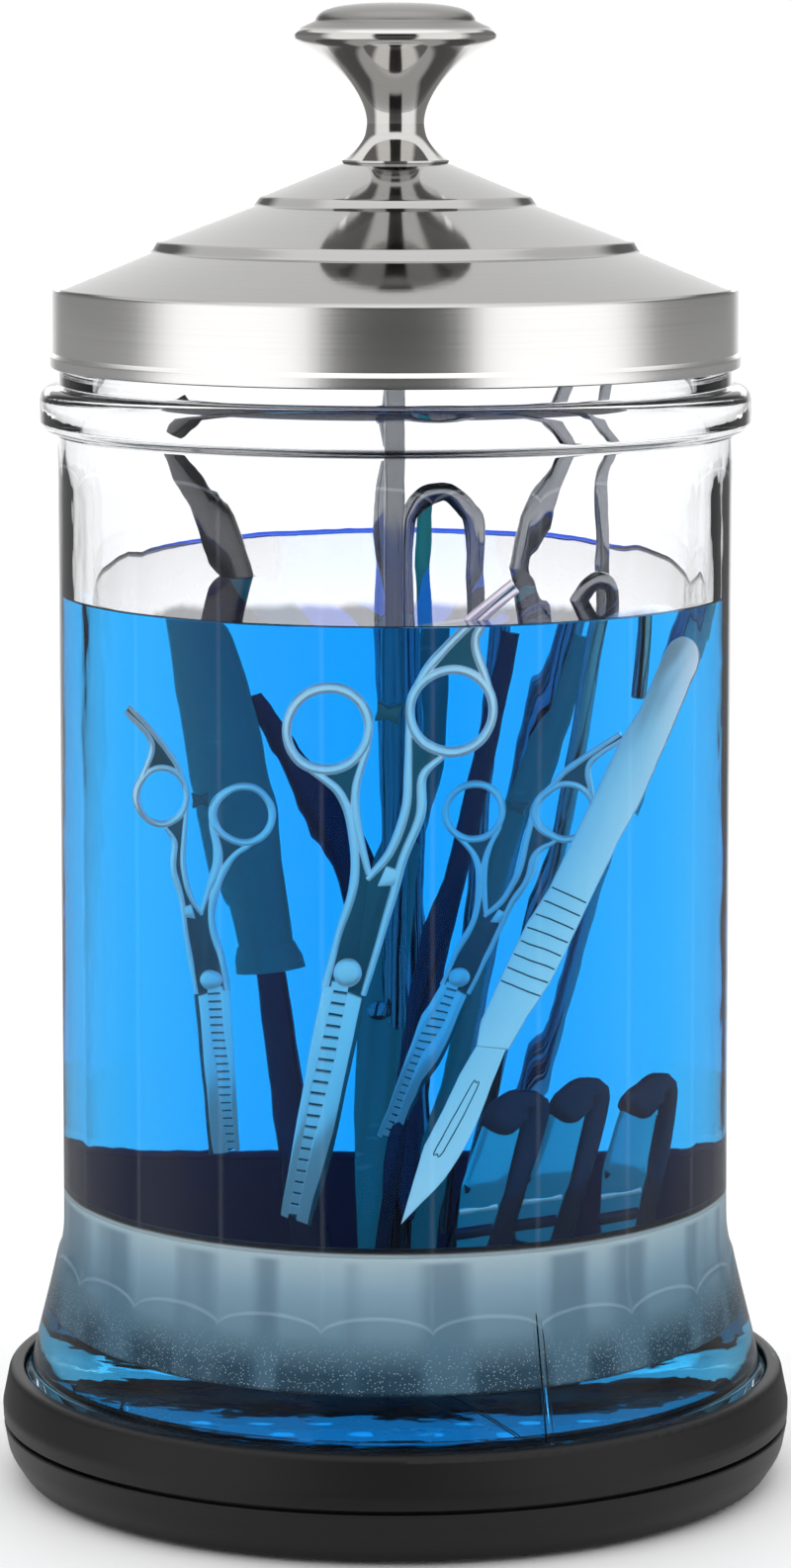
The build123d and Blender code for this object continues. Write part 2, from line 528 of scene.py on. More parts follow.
@dataclass(frozen=True)
class PressedGlass(Finish):
    """Clear pressed glass with a mould's unevenness, its seam and a faint painted highlight that glows on the
    panels' arches and edges.
    """

    name: str = "pressed_glass"
    fluting: Fluting = Fluting()
    shades: tuple[Colour, Colour] = ((0.945, 0.955, 0.97), (0.985, 0.988, 0.995))
    index: float = 1.5
    shine: float = 0.13
    swell: tuple[float, float, float] = (70, 70, 28)
    ripple: tuple[float, float, float] = (260, 260, 110)
    swell_share: float = 0.85
    unevenness: Point = (0.4, 0.35)
    seam: float = 0.0
    seam_width: Point = (0.1, 0.45)
    seam_top: Point = (34.0, 37.0)
    seam_height: float = 0.3
    outside: Point = (51.2, 51.6)
    painted_gleam_colour: Colour = (0.75, 0.87, 1.0)
    arch_painted_gleam: float = 0.09
    arch_width: Point = (0.1, 0.4)
    edge_painted_gleam: float = 0.03
    edge_width: Point = (0.93, 0.99)
    edge_fade: float = 2.0

    def painted_gleam(self, g: Graph) -> Signal:
        """Return the strength of the painted highlight that glows on the moulded arches and the panels'
        edges.

        Args:
            g: the material's nodes.

        Returns:
            The strength, from 0 upwards.
        """
        x, y, z = g.axes()
        count = self.fluting.count
        turns = x.atan2(0.0 - y) * (count / (2 * math.pi)) + (count - self.fluting.first * count / 360)
        across = (g.node("ShaderNodeMath", {"operation": "FRACT"}, {0: turns}) * 2.0 - 1.0).size()
        rise = (1.0 - across * across).root() * self.fluting.arch_rise
        low, high = self.fluting.arches
        low_arch, high_arch = (1.0 - g.above((z - rise - at).size(), *self.arch_width) for at in (low, high))
        body = g.above(z, low, low + self.edge_fade) * (1.0 - g.above(z, high - self.edge_fade, high))
        edges = g.above(across, *self.edge_width) * body * self.edge_painted_gleam
        return ((low_arch + high_arch) * self.arch_painted_gleam + edges) * g.above(g.radius(), *self.outside)

    def sockets(self, g: Graph) -> Sockets:
        """Draw the glass.

        Args:
            g: the material's nodes.

        Returns:
            The shader's values and signals by socket name.
        """
        swell = g.grain(self.swell, 1.0)
        ripple = g.grain(self.ripple, 1.0)
        x, y, z = g.axes()
        away = (x * math.cos(self.seam) + y * math.sin(self.seam)).size()
        seam = (1.0 - g.above(away, *self.seam_width)) * (1.0 - g.above(z, *self.seam_top))
        surface = g.bump(swell * self.swell_share + ripple * (1.0 - self.swell_share), *self.unevenness)
        return {
            "Base Color": g.mix(swell, *self.shades),
            # Painted highlight: the arches and the panels' edges glow.
            "Emission Color": g.mix(self.painted_gleam(g), BLACK, self.painted_gleam_colour),
            "Emission Strength": 1.0,
            "Roughness": 0.0,
            "IOR": self.index,
            "Transmission Weight": 1.0,
            "Specular Tint": (self.shine, self.shine, self.shine, 1.0),
            "Normal": g.bump(seam, 1.0, self.seam_height, surface),
        }


@dataclass(frozen=True)
class Disinfectant(Finish):
    """Clear blue liquid that deepens with the length of the way through it."""

    name: str
    shine: float = 1.0
    kept: Colour = (0.0, 0.79, 0.985)
    density: float = 54.0
    index: float = 1.34
    shades: tuple[Colour, Colour] = ((0.97, 0.985, 1.0), WHITE)
    waves: float = 25.0

    def sockets(self, g: Graph) -> Sockets:
        """Draw the liquid's surface.

        Args:
            g: the material's nodes.

        Returns:
            The shader's values and signals by socket name.
        """
        return {
            "Base Color": g.mix(g.grain((self.waves,) * 3, 1.0), *self.shades),
            "Roughness": 0.0,
            "IOR": self.index,
            "Transmission Weight": 1.0,
            "Specular Tint": (self.shine, self.shine, self.shine, 1.0),
        }

    def volume(self, g: Graph) -> Signal:
        """Return the absorption that colours the liquid."""
        return g.node("ShaderNodeVolumeAbsorption", {}, {"Color": (*self.kept, 1.0), "Density": self.density})


# ---------------------------------------------------------------------------------------------
# Mesh work
# ---------------------------------------------------------------------------------------------


def rounded_bevel(bm: bmesh.types.BMesh, edges: Iterable, offset: float, segments: int = 3) -> None:
    """Round edges of a mesh.

    Args:
        bm: the mesh.
        edges: the edges to round.
        offset: how far the rounding reaches from each edge.
        segments: faces across the rounding.
    """
    bmesh.ops.bevel(
        bm, geom=list(edges), offset=offset, segments=segments, profile=0.5, affect="EDGES", material=-1,
    )


def ease(value: float) -> float:
    """Return a smooth step from 0 at -0.5 to 1 at 0.5."""
    share = min(1.0, max(0.0, value + 0.5))
    return share * share * (3 - 2 * share)


def smooth_max(first: float, second: float, softness: float) -> float:
    """Return the larger of two lengths, rounded where they are nearly equal."""
    return 0.5 * (first + second + math.hypot(first - second, 2 * softness))


def lathe(profile: Profile, segments: int, closed: bool = True) -> bmesh.types.BMesh:
    """Spin a half section about Z and round its corners.

    Args:
        profile: (radius, height, rounding) corners; the rounding is how far it reaches from the corner.
        segments: faces round the axis.
        closed: whether the last corner joins the first.

    Returns:
        The mesh, in millimetres.
    """
    bm = bmesh.new()
    verts = [bm.verts.new((r, 0.0, z)) for r, z, _ in profile]
    pairs = list(zip(verts, verts[1:] + verts[:1])) if closed else list(zip(verts, verts[1:]))
    edges = [bm.edges.new(pair) for pair in pairs]
    bmesh.ops.spin(
        bm, geom=verts + edges, cent=(0, 0, 0), axis=(0, 0, 1), dvec=(0, 0, 0),
        angle=2 * math.pi, steps=segments, use_merge=True,
    )
    bmesh.ops.remove_doubles(bm, verts=bm.verts[:], dist=MERGE)
    bmesh.ops.dissolve_degenerate(bm, edges=bm.edges[:], dist=MERGE / 10)
    bmesh.ops.recalc_face_normals(bm, faces=bm.faces[:])
    for radius, height, rounding in profile:
        if rounding and radius:
            rounded_bevel(bm, edges_at(bm, radius, height), rounding)
    return bm


def edges_at(bm: bmesh.types.BMesh, radius: float, height: float) -> list[bmesh.types.BMEdge]:
    """Find the edges that run round the axis.

    Args:
        bm: the mesh.
        radius: their radius.
        height: their height.

    Returns:
        The edges.
    """

    def near(vert: bmesh.types.BMVert) -> bool:
        """Return whether a corner lies at the radius and height."""
        away = math.hypot(vert.co.x, vert.co.y) - radius
        return abs(away) < TOUCH and abs(vert.co.z - height) < TOUCH

    return [e for e in bm.edges if near(e.verts[0]) and near(e.verts[1])]


def sharp(points: Iterable[Point]) -> Profile:
    """Return points of a half section as corners without rounding."""
    return [(r, z, 0.0) for r, z in points]


def curve_points(start: Point, lean_out: Point, lean_in: Point, end: Point, count: int) -> list[Point]:
    """Draw a Bezier curve in a half section.

    Args:
        start: where it starts.
        lean_out: the point that it leaves towards.
        lean_in: the point that it arrives from.
        end: where it ends.
        count: how many points to make.

    Returns:
        The points after the first.
    """
    corners = [Vector((*p, 0.0)) for p in (start, lean_out, lean_in, end)]
    return [(p.x, p.y) for p in interpolate_bezier(*corners, count + 1)[1:]]


def smooth_path(points: Sequence[Vector], steps: int = 6, closed: bool = False) -> list[Vector]:
    """Draw a smooth line through points.

    Args:
        points: the points to pass through.
        steps: points made for each stretch.
        closed: whether the line returns to its start.

    Returns:
        The line's points.
    """
    count = len(points)
    line = []
    last = count if closed else count - 1
    for i in range(last):
        before, here = points[(i - 1) % count], points[i]
        there, after = points[(i + 1) % count], points[(i + 2) % count]
        if not closed:
            before = points[max(i - 1, 0)]
            after = points[min(i + 2, count - 1)]
        lean_out = here + (there - before) / 6
        lean_in = there - (after - here) / 6
        line += interpolate_bezier(here, lean_out, lean_in, there, steps + 1)[:-1]
    if not closed:
        line.append(points[-1].copy())
    return line


def sweep(
    bm: bmesh.types.BMesh, path: Sequence[Vector], widths: Sequence[float], depth: float,
    closed: bool = False, sides: int = 10,
) -> None:
    """Draw an oval bar along a line.

    Args:
        bm: the mesh to add to.
        path: the bar's centre line.
        widths: its half widths, spread evenly along the line.
        depth: its half thickness towards the viewer, as a share of the half width.
        closed: whether the bar returns to its start.
        sides: faces round the bar.
    """
    count = len(path)
    loops = []
    for i, at in enumerate(path):
        before = path[(i - 1) % count] if closed or i else at
        after = path[(i + 1) % count] if closed or i < count - 1 else at
        along = (after - before).normalized()
        across = along.cross(FRONT).normalized()
        out = across.cross(along).normalized()
        share = i / (count - 1) * (len(widths) - 1)
        low = min(int(share), len(widths) - 2) if len(widths) > 1 else 0
        width = widths[low]
        if len(widths) > 1:
            width += (widths[low + 1] - width) * (share - low)
        turn = Matrix((across * width, out * width * depth, along)).transposed().to_4x4()
        turn.translation = at
        made = bmesh.ops.create_circle(bm, cap_ends=False, segments=sides, radius=1.0, matrix=turn)
        loops.append(sorted({e for v in made["verts"] for e in v.link_edges}, key=lambda e: e.index))
    joins = list(zip(loops, loops[1:] + loops[:1])) if closed else list(zip(loops, loops[1:]))
    for first, second in joins:
        bmesh.ops.bridge_loops(bm, edges=first + second)
    if not closed:
        for loop in (loops[0], loops[-1]):
            bmesh.ops.edgeloop_fill(bm, edges=loop)


def plate(bm: bmesh.types.BMesh, outline: Sequence[Vector], thickness: float, rounding: float = 0.15) -> None:
    """Add a flat plate with rounded edges.

    Args:
        bm: the mesh to add to.
        outline: the corners of its front face, on one plane facing -Y.
        thickness: how far it reaches towards +Y.
        rounding: the rounding of its edges.
    """
    part = bmesh.new()
    face = part.faces.new([part.verts.new(p) for p in outline])
    grown = bmesh.ops.extrude_face_region(part, geom=[face])
    moved = [g for g in grown["geom"] if isinstance(g, bmesh.types.BMVert)]
    bmesh.ops.translate(part, verts=moved, vec=(0, thickness, 0))
    bmesh.ops.recalc_face_normals(part, faces=part.faces[:])
    if rounding:
        rounded_bevel(part, part.edges[:], rounding, 2)
    join(bm, part)


def join(bm: bmesh.types.BMesh, part: bmesh.types.BMesh) -> None:
    """Add one mesh to another.

    Args:
        bm: the mesh that grows.
        part: the mesh that is added, freed here.
    """
    spare = bpy.data.meshes.new("spare")
    part.to_mesh(spare)
    part.free()
    bm.from_mesh(spare)
    bpy.data.meshes.remove(spare)


def finish_piece(
    name: str, bm: bmesh.types.BMesh, material: bpy.types.Material, body: Body, edge: Edge,
    at: Matrix | None = None,
) -> bpy.types.Object:
    """Turn a millimetre mesh into a piece that rides on a body.

    Args:
        name: the piece's name.
        bm: its mesh, freed here.
        material: its material.
        body: the body it rides on.
        edge: how its edges are shaded.
        at: a placing in millimetres, for a mesh made in its own coordinates.

    Returns:
        The object.
    """
    if at:
        bmesh.ops.transform(bm, matrix=at, verts=bm.verts[:])
        if at.to_3x3().determinant() < 0:
            bmesh.ops.reverse_faces(bm, faces=bm.faces[:])
    bmesh.ops.scale(bm, vec=(MM, MM, MM), verts=bm.verts[:])
    for face in bm.faces:
        face.smooth = True
    for line in bm.edges:
        line.smooth = line.calc_face_angle(0.0) < math.radians(edge.value)
    mesh = bpy.data.meshes.new(name)
    bm.to_mesh(mesh)
    bm.free()
    mesh.materials.append(material)
    piece = bpy.data.objects.new(name, mesh)
    bpy.context.collection.objects.link(piece)
    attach(piece, body.value)
    LOG.info("%s: %d faces, rides on %s", name, len(mesh.polygons), body.value)
    return piece


def dress_nodes(finish: Finish, *nodes: str) -> None:
    """Give CAD nodes their finished material.

    Args:
        finish: the surface that they share.
        nodes: the nodes' names.
    """
    material = finish.make()
    for node in nodes:
        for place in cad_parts[node].material_slots:
            place.material = material
        LOG.info("%s: dressed in %s", node, material.name)


# ---------------------------------------------------------------------------------------------
# The jar
# ---------------------------------------------------------------------------------------------


@dataclass
class Base:
    """The black two-piece base and its rubber ring."""

    plastic: Moulding = Moulding("black_plastic", (0.004, 0.004, 0.0044), (0.4, 0.52), shine=0.28)
    rubber: Moulding = Moulding("foot_rubber", (0.01, 0.01, 0.01), (0.7, 0.85))

    def build(self) -> None:
        """Dress the base's CAD nodes."""
        dress_nodes(self.plastic, "base_tray", "base_collar")
        dress_nodes(self.rubber, "foot_ring")


@dataclass
class GlassJar:
    """The fluted glass jar, made again with finer panels, arches and a mould seam."""

    fluting: Fluting = Fluting()
    segments_per_panel: int = 10
    panel_edge: float = 53.0
    core_inset: float = 1.0
    bore: float = 49.2
    bore_foot: float = 49.0
    foot_bore: float = 54.4
    floor: float = 14.6
    shoulder: float = 154.0
    bead: float = 55.6
    bead_heights: Point = (166.5, 173.4)
    neck: float = 52.5
    rim_rounding: float = 1.4
    half_wall: float = 1.8
    flare_top: float = 45.0
    flare_slope: float = 0.155
    seam_panel: int = 1
    panel_heights: Point = (30.0, 165.0)
    panel_relief: float = 0.22
    arch_depth: float = 0.3
    arch_depth_top: float = 80.0
    arch_blend: float = 1.3
    softness: float = 0.15

    def bore_line(self, inset: float, top: float) -> Profile:
        """Draw the inside's half section, from the wall at a height down to the middle of the floor.

        Args:
            inset: how far outside the glass's own bore the line runs.
            top: the height that it starts at.

        Returns:
            The line's corners.
        """
        start = (self.bore + inset, self.bore_foot)
        end = (self.foot_bore + inset, self.floor - inset)
        flare = curve_points(start, (start[0], 41.0), (self.foot_bore - 3.0, 33.0), end, 24)
        return [(start[0], top, 0.0), (*start, 0.0), *sharp(flare[:-1]), (*end, 3.2), (0.0, end[1], 0.0)]

    def profile(self, foot: float, bottom: float, rim: float) -> Profile:
        """Draw the glass's closed half section.

        Args:
            foot: the radius of the foot.
            bottom: the height of the foot's underside.
            rim: the height of the rim.

        Returns:
            The section's corners.
        """
        core = self.panel_edge - self.core_inset
        band = core + 0.9
        step = (foot - 0.9, 17.8)
        start = (core, self.shoulder)
        flare = curve_points(step, (foot - 3.1, 27.7), (core, 40.0), (core, 50.0), 44)
        leans = ((core, self.shoulder + 2.0), (band, self.shoulder + 1.0))
        shoulder = curve_points(start, *leans, (band, self.shoulder + 4.0), 9)
        inside = self.bore_line(0.0, rim)
        inside[0] = (self.bore, rim, self.rim_rounding)
        low_bead, high_bead = self.bead_heights
        return [
            (0.0, bottom + 2.0, 0.0),
            (foot - 10.0, bottom + 2.0, 1.5),
            (foot - 8.5, bottom, 0.6),
            (foot, bottom, 1.4),
            (foot, 16.8, 0.4),
            (*step, 0.3),
            *sharp([*flare, start, *shoulder]),
            (band, low_bead, 0.8),
            (self.bead, low_bead, 1.5),
            (self.bead, high_bead, 2.1),
            (self.neck, high_bead, 0.5),
            (self.neck, rim, self.rim_rounding),
            *inside,
        ]

    def wall_middle(self, height: float) -> float:
        """Return a radius inside the wall's thickness at a height."""
        return self.bore + self.half_wall + max(0.0, self.flare_top - height) * self.flare_slope

    def flatten_panels(self, bm: bmesh.types.BMesh) -> None:
        """Push the outside of the body out to shallow flat panels that end in arches.

        Args:
            bm: the glass, in millimetres.
        """
        half = self.fluting.half
        first = math.radians(self.fluting.first)
        low_arch, high_arch = self.fluting.arches
        low, high = self.panel_heights
        for vert in bm.verts:
            radius = math.hypot(vert.co.x, vert.co.y)
            height = vert.co.z
            if radius < self.wall_middle(height) or not low < height < high:
                continue
            angle = (math.atan2(vert.co.x, -vert.co.y) - first) % (2 * half) - half
            rise = self.fluting.arch_rise * math.sqrt(max(0.0, 1 - (angle / half) ** 2))
            edge = self.panel_edge * math.cos(half) / math.cos(angle)
            inside = self.panel_edge + (edge - self.panel_edge) * self.panel_relief - self.softness
            if height < self.arch_depth_top:
                inside = smooth_max(radius - self.arch_depth, inside, self.softness)
            share = ease((height - low_arch - rise) / self.arch_blend)
            share *= ease((high_arch + rise - height) / self.arch_blend)
            target = radius + (inside - radius) * share
            vert.co.xy *= target / radius

    def build(self) -> None:
        """Build the glass and let it stand for its CAD node."""
        low, high = (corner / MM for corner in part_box("glass_jar"))
        segments = self.fluting.count * self.segments_per_panel
        bm = lathe(self.profile(high.x, low.z, high.z), segments, closed=False)
        turn = Matrix.Rotation(math.radians(self.fluting.first - 90), 4, "Z")
        bmesh.ops.transform(bm, matrix=turn, verts=bm.verts[:])
        self.flatten_panels(bm)
        seam = math.radians(self.fluting.first + 360 / self.fluting.count * self.seam_panel)
        finish = PressedGlass(seam=seam, fluting=self.fluting).make()
        glass = finish_piece("pressed_jar", bm, finish, Body.JAR, Edge.SOFT)
        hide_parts("glass_jar")


@dataclass
class Liquid:
    """The blue disinfectant, with the curve where it climbs the glass."""

    level: float = 140.5
    climb: float = 0.45
    climb_width: float = 1.2
    overlap: float = 0.12
    side_shine: float = 0.0
    surface_tilt: float = 0.3
    segments: int = 160
    jar: GlassJar = field(default_factory=GlassJar)

    def build(self) -> None:
        """Build the liquid a hair into the glass, so that no air shows between them."""
        wall = self.jar.bore + self.overlap
        top = self.level + self.climb
        start = (wall - self.climb_width, self.level)
        rise = curve_points(start, (wall - 0.7, self.level), (wall - 0.2, self.level + 0.2), (wall, top), 8)
        surface = sharp([(0.0, self.level), start, *rise[:-1]])
        bm = lathe([*surface, *self.jar.bore_line(self.overlap, top)], self.segments, closed=False)
        side = Disinfectant("liquid_against_glass", shine=self.side_shine).make()
        liquid = finish_piece("liquid", bm, side, Body.JAR, Edge.SOFT)
        liquid.data.materials.append(Disinfectant("liquid_surface").make())
        for face in liquid.data.polygons:
            face.material_index = int(face.normal.z > self.surface_tilt)


@dataclass
class Lid:
    """The stepped lid and its knob, made again with finer curves, and the seal and fasteners."""

    sheet: float = 0.6
    skirt: float = 53.5
    hem: float = 53.9
    eave: float = 188.6
    hem_height: float = 2.4
    hole: float = 1.9
    steps: tuple[Point, ...] = ((8.4, 207.9), (21.5, 202.7), (22.4, 201.4), (37.9, 195.9), (38.8, 194.4))
    shell_segments: int = 180
    knob_segments: int = 96
    knob_foot: float = 8.4
    foot_bevel: float = 0.6
    knob_waist: Point = (4.5, 213.9)
    knob_edge: float = 15.8
    band: Point = (226.3, 228.3)
    ridge: Point = (12.4, 229.6)
    dish: float = 0.09
    seal: Moulding = Moulding("clear_silicone", (0.62, 0.64, 0.66), (0.3, 0.45))
    fasteners: PlainMetal = PlainMetal("fastener_steel", (0.5, 0.5, 0.5), (0.2, 0.32))

    def shell_profile(self, bottom: float) -> Profile:
        """Draw the lid's closed half section.

        Args:
            bottom: the height of the hem's lower edge.

        Returns:
            The section's corners.
        """
        outer = [*self.steps, (self.skirt, self.eave)]
        hem_top = bottom + self.hem_height
        down = [(r, z, 0.35) for r, z in self.steps]
        up = [(r - self.sheet, z - self.sheet, 0.25) for r, z in reversed(outer)]
        top = self.steps[0][1]
        return [
            *down,
            (self.skirt, self.eave, 0.55),
            (self.skirt, hem_top, 0.0),
            (self.hem, hem_top - 0.7, 0.15),
            (self.hem, bottom, 0.4),
            (self.skirt - self.sheet, bottom, 0.3),
            *up,
            (self.hole, top - self.sheet, 0.0),
            (self.hole, top, 0.0),
        ]

    def knob_profile(self, bottom: float, top: float) -> Profile:
        """Draw the knob's half section from its foot to the middle of its cap.

        Args:
            bottom: the height of its foot.
            top: the height of its cap.

        Returns:
            The section's corners.
        """
        low, high = self.band
        waist, edge = self.knob_waist, self.knob_edge
        reach, shoulder = self.ridge
        start = (self.knob_foot - self.foot_bevel, bottom + 0.7)
        foot = curve_points(start, (6.0, 210.0), (waist[0], 211.6), waist, 10)
        neck = curve_points(waist, (waist[0], 217.4), (8.2, 223.0), (edge - 0.6, low), 18)
        cap = curve_points(self.ridge, (reach - 0.1, shoulder + 1.7), (reach - 3.0, top), (0.0, top), 12)
        return [
            *sharp([(0.0, bottom), (self.knob_foot, bottom), (self.knob_foot, bottom + 0.3), start]),
            *sharp(foot + neck),
            (edge, low + 0.6, 0.25),
            (edge, high - 0.5, 0.25),
            (edge - 0.5, high, 0.2),
            (*self.ridge, 0.3),
            *sharp(cap),
        ]

    def build(self) -> None:
        """Build the lid and knob, and dress the seal and fasteners."""
        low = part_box("lid_shell")[0] / MM
        shell = lathe(self.shell_profile(low.z), self.shell_segments)
        # The upper shade is painted shade that darkens the stepped cones above the skirt.
        spun = SpunSteel(
            "spun_steel", (0.88, 0.87, 0.86), change_height=self.eave - 0.3,
            upper_polish=-0.17, upper_painted_shade=0.41, dish=self.dish,
        )
        piece = finish_piece("stepped_lid", shell, spun.make(), Body.LID, Edge.CRISP)
        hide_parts("lid_shell")
        low, high = (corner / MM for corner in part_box("knob"))
        knob = lathe(self.knob_profile(low.z, high.z), self.knob_segments, closed=False)
        # The upper shade is painted shade that darkens the knob's cap.
        turned = SpunSteel(
            "turned_knob", (0.62, 0.61, 0.59), (0.05, 0.1), rings_per_mm=3.0, ring_depth=0.05,
            change_height=self.band[1], upper_polish=0.28, upper_painted_shade=0.38,
        )
        piece = finish_piece("mushroom_knob", knob, turned.make(), Body.LID, Edge.CRISP)
        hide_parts("knob")
        dress_nodes(self.seal, "lid_seal")
        dress_nodes(self.fasteners, "lid_washer", "lid_nut", "floor_washers", "floor_nuts")


@dataclass
class Basket:
    """The instrument basket and the rod that carries it."""

    bead_reach: float = 0.9
    rod: PlainMetal = PlainMetal("drawn_rod", (0.2, 0.21, 0.22), (0.12, 0.2), (900, 900, 60))

    def build(self) -> None:
        """Dress the basket's CAD nodes."""
        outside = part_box("basket_cup")[1].x / MM - self.bead_reach
        dress_nodes(BubbledSteel(outside=outside), "basket_cup", "basket_floor")
        dress_nodes(self.rod, "lift_rod")


# ---------------------------------------------------------------------------------------------
# Instruments that stand in the basket
# ---------------------------------------------------------------------------------------------


class Steel(Enum):
    """The finishes that the instruments share, tinted for how they look through the liquid, with painted glow
    and a copy of the steel in painted shade.
    """

    # BRIGHT and WEB are one steel, a lit copy and a copy in painted shade; each glow here is painted light,
    # an emission of the finish's own shade.
    BRIGHT = PlainMetal("satin_instrument_steel", (0.93, 0.84, 1.0), (0.18, 0.3), metallic=0.5, painted_glow=0.16)
    WEB = PlainMetal(
        "shadowed_instrument_steel", (0.02, 0.11, 0.16), (0.25, 0.4), metallic=0.3, painted_glow=0.2, shine=0.15,
    )
    DARK = PlainMetal(
        "dark_instrument_steel", (0.002, 0.02, 0.06), (0.06, 0.12), metallic=0.4, painted_glow=0.2, shine=0.1,
    )
    BLACK = PlainMetal("blackened_steel", (0.09, 0.09, 0.095), (0.08, 0.16))
    CHROME = PlainMetal("bright_plated_steel", (0.25, 0.26, 0.28), (0.04, 0.09))
    MIRROR = PlainMetal("blue_lit_steel", (0.0, 0.3, 0.5), (0.06, 0.12), metallic=0.5, painted_glow=0.3, shine=0.3)
    HANDLE = PlainMetal("teal_handle", (0.0, 0.13, 0.16), (0.2, 0.32), metallic=0.3, painted_glow=0.5, shine=0.15)


Steels = Mapping[Steel, bpy.types.Material]


def add_instrument(
    name: str, bm: bmesh.types.BMesh, material: bpy.types.Material, at: Matrix | None = None,
) -> None:
    """Finish a piece that stands in the basket and so rides on the lid's body.

    Args:
        name: the piece's name.
        bm: its mesh in millimetres.
        material: its material.
        at: a placing, for a mesh made in its own coordinates.
    """
    finish_piece(name, bm, material, Body.LID, Edge.SOFT, at=at)


def flat(points: Iterable[Point], depth: float = 0.0) -> list[Vector]:
    """Return points of an instrument's own plane at a depth behind it."""
    return [Vector((x, depth, z)) for x, z in points]


def stud(profile: Profile, segments: int, at: Vector) -> bmesh.types.BMesh:
    """Spin a small head that faces the front.

    Args:
        profile: (radius, height, rounding) corners.
        segments: faces round it.
        at: the middle of its back.

    Returns:
        The mesh.
    """
    bm = lathe(profile, segments, closed=False)
    turn = Matrix.Translation(at) @ Matrix.Rotation(math.radians(90), 4, "X")
    bmesh.ops.transform(bm, matrix=turn, verts=bm.verts[:])
    return bm


@dataclass(frozen=True)
class Placing:
    """Where a flat instrument stands: its tip or pivot, a point further up it, and its scale.

    The width is a little less than the length's scale asks, because the curved liquid widens it.
    """

    foot: Vector
    head: Vector
    scale: float = 1.0
    mirrored: bool = False
    narrow: float = 0.87

    def matrix(self) -> Matrix:
        """Work out the placing.

        Returns:
            The matrix from the instrument's own plane (X across, Z up) to the jar.
        """
        up = (self.head - self.foot).normalized()
        across = Vector((0, 1, 0)).cross(up).normalized()
        back = up.cross(across).normalized()
        side = -1.0 if self.mirrored else 1.0
        columns = (across * side * self.scale * self.narrow, back * self.scale, up * self.scale)
        made = Matrix(columns).transposed().to_4x4()
        made.translation = self.foot
        return made


@dataclass
class HandTool:
    """An instrument drawn in its own plane, with X across it and Z up."""

    name: str
    placing: Placing
    steels: Steels

    def add(self, part: str, bm: bmesh.types.BMesh, steel: Steel) -> None:
        """Place one part of the instrument."""
        add_instrument(f"{self.name}_{part}", bm, self.steels[steel], self.placing.matrix())


